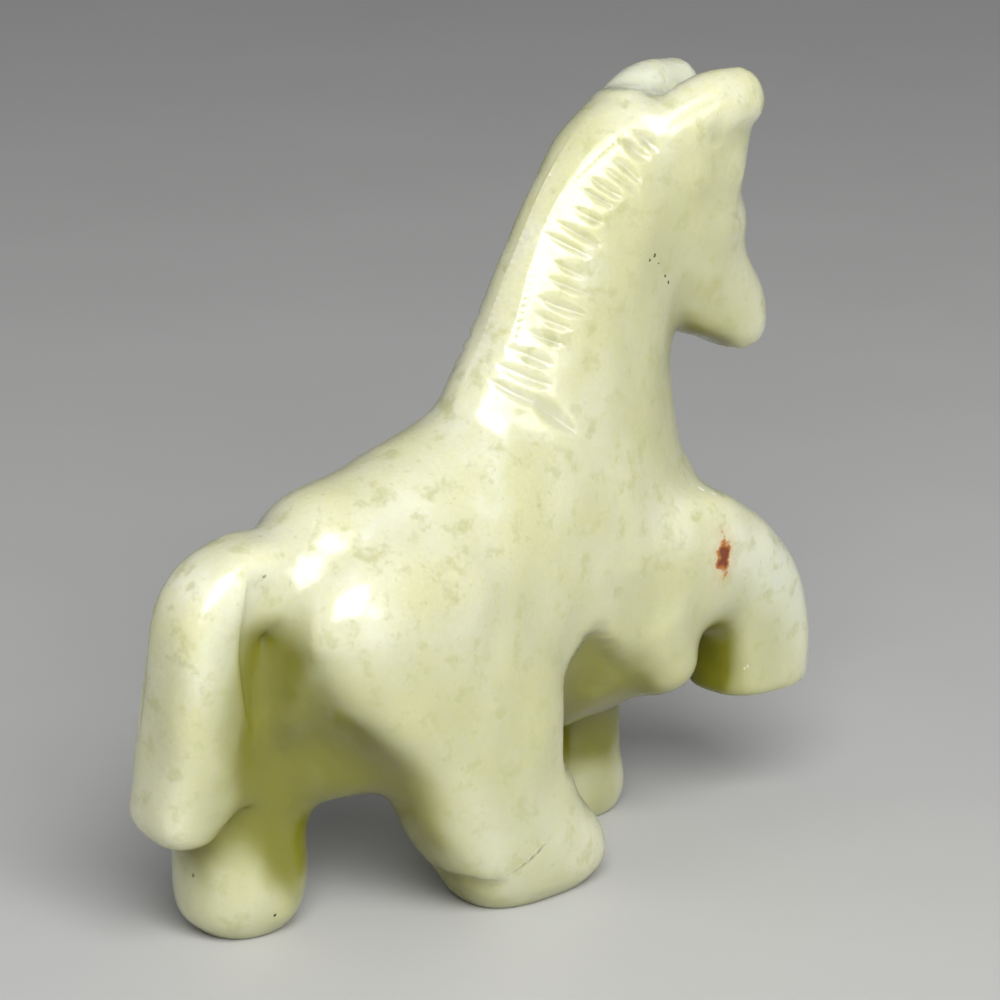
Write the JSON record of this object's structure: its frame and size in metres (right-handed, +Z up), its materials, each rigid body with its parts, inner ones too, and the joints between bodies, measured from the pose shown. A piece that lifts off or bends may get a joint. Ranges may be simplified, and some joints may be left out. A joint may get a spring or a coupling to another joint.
{
  "type": "carved jade horse figurine",
  "caption": "Small polished figurine of a striding horse with a fore leg lifted, carved in the round from pale green jade, standing on its own hooves.",
  "frame": {"origin": "on the ground under the middle of the figure's bounding box", "axes": "+X forward, the way the horse faces; +Y to the horse's left; +Z up"},
  "size_m": [0.0573, 0.018, 0.0561],
  "materials": {
    "pale_jade": "polished, slightly translucent, mottled"
  },
  "bodies": {
    "root": {"horse_carving": "pale_jade"}
  },
  "joints": []
}
